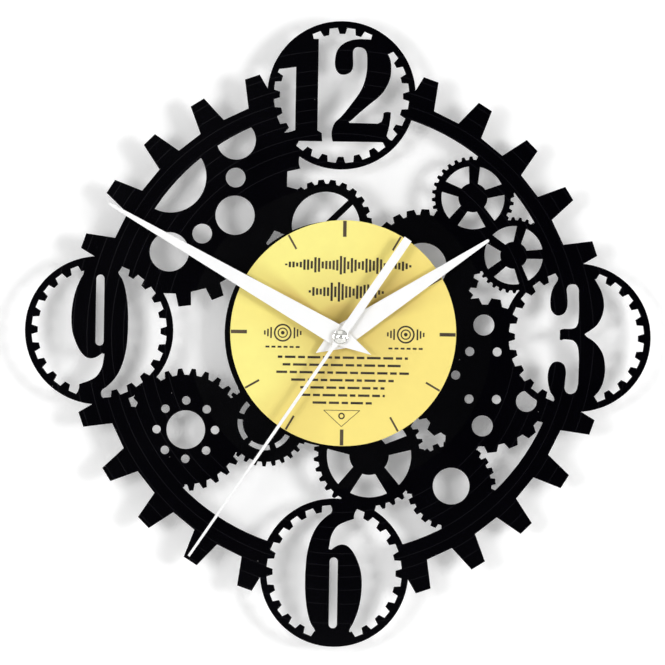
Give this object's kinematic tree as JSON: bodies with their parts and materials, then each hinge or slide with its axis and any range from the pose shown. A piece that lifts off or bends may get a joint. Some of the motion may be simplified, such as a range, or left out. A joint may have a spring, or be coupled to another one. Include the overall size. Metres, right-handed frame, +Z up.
{
  "type": "vinyl record wall clock",
  "caption": "Wall clock cut from a vinyl record into a toothed ring, gear shapes and ringed numerals, with a gold label, white hands and a battery quartz movement behind.",
  "frame": {"origin": "on the hands' shaft axis, at the flat back face of the movement that lies on the wall", "axes": "+Y from the dial into the wall, +Z up to the numeral 12, +X to the numeral 3"},
  "size_m": [0.3002, 0.0329, 0.3002],
  "materials": {
    "vinyl": "gloss",
    "gold_paper": "satin",
    "black_rubber": "matte",
    "brass": "satin",
    "plated_steel": "satin",
    "case_plastic": "satin",
    "wheel_plastic": "satin",
    "magnet": "satin",
    "copper": "satin",
    "board": "satin",
    "crystal_can": "polished",
    "cell_wrap": "gloss",
    "white_enamel": "gloss",
    "polished_cap": "polished"
  },
  "bodies": {
    "clock": {"record_disc": "vinyl", "dial_label": "gold_paper", "rubber_washer": "black_rubber", "brass_washer": "brass", "hex_nut": "brass", "threaded_bush": "brass", "hanger_plate": "plated_steel", "case_back": "case_plastic", "case_front": "case_plastic", "case_screw_left": "plated_steel", "case_screw_right": "plated_steel", "gear_plate": "wheel_plastic", "stator_plate": "plated_steel", "coil_core": "plated_steel", "coil_bobbin": "wheel_plastic", "coil_winding": "copper", "circuit_board": "board", "clock_chip": "case_plastic", "quartz_crystal": "crystal_can", "battery_cell": "cell_wrap", "contact_positive": "plated_steel", "contact_negative": "plated_steel"},
    "seconds": {"seconds_wheel": "wheel_plastic", "second_sleeve": "brass", "second_hand": "white_enamel", "centre_cap": "polished_cap"},
    "minutes": {"minute_tube": "wheel_plastic", "minute_collet": "brass", "minute_hand": "white_enamel"},
    "hours": {"hour_wheel": "wheel_plastic", "hour_collet": "brass", "hour_hand": "white_enamel"},
    "third": {"third_wheel": "wheel_plastic"},
    "motion": {"motion_wheel": "wheel_plastic"},
    "step": {"step_wheel": "wheel_plastic"},
    "rotor": {"motor_rotor": "magnet"},
    "setting": {"setting_knob": "wheel_plastic"}
  },
  "joints": [
    {"name": "second_hand_turn", "type": "hinge", "parent": "clock", "child": "seconds", "pos_m": [0, 0, 0], "axis": [0, 1, 0], "continuous": true},
    {"name": "minute_hand_turn", "type": "hinge", "parent": "clock", "child": "minutes", "pos_m": [0, 0, 0], "axis": [0, 1, 0], "continuous": true},
    {"name": "hour_hand_turn", "type": "hinge", "parent": "clock", "child": "hours", "pos_m": [0, 0, 0], "axis": [0, 1, 0], "continuous": true},
    {"name": "third_wheel_turn", "type": "hinge", "parent": "clock", "child": "third", "pos_m": [0.00781, 0, 0.00656], "axis": [0, 1, 0], "continuous": true},
    {"name": "motion_wheel_turn", "type": "hinge", "parent": "clock", "child": "motion", "pos_m": [-0.00146, 0, 0.00827], "axis": [0, 1, 0], "continuous": true},
    {"name": "step_wheel_turn", "type": "hinge", "parent": "clock", "child": "step", "pos_m": [-0.00624, 0, 0.0036], "axis": [0, 1, 0], "continuous": true},
    {"name": "rotor_turn", "type": "hinge", "parent": "clock", "child": "rotor", "pos_m": [-0.01141, 0, 0.00451], "axis": [0, 1, 0], "continuous": true},
    {"name": "setting_knob_turn", "type": "hinge", "parent": "clock", "child": "setting", "pos_m": [-0.00873, 0, 0.01247], "axis": [0, 1, 0], "continuous": true}
  ],
  "couplings": [
    {"joint": "minute_hand_turn", "follows": "second_hand_turn", "ratio": 0.016667},
    {"joint": "hour_hand_turn", "follows": "second_hand_turn", "ratio": 0.0013889},
    {"joint": "third_wheel_turn", "follows": "second_hand_turn", "ratio": -0.13333},
    {"joint": "motion_wheel_turn", "follows": "second_hand_turn", "ratio": -0.0055556},
    {"joint": "step_wheel_turn", "follows": "second_hand_turn", "ratio": -5},
    {"joint": "rotor_turn", "follows": "second_hand_turn", "ratio": 30},
    {"joint": "setting_knob_turn", "follows": "second_hand_turn", "ratio": 0.016667}
  ]
}
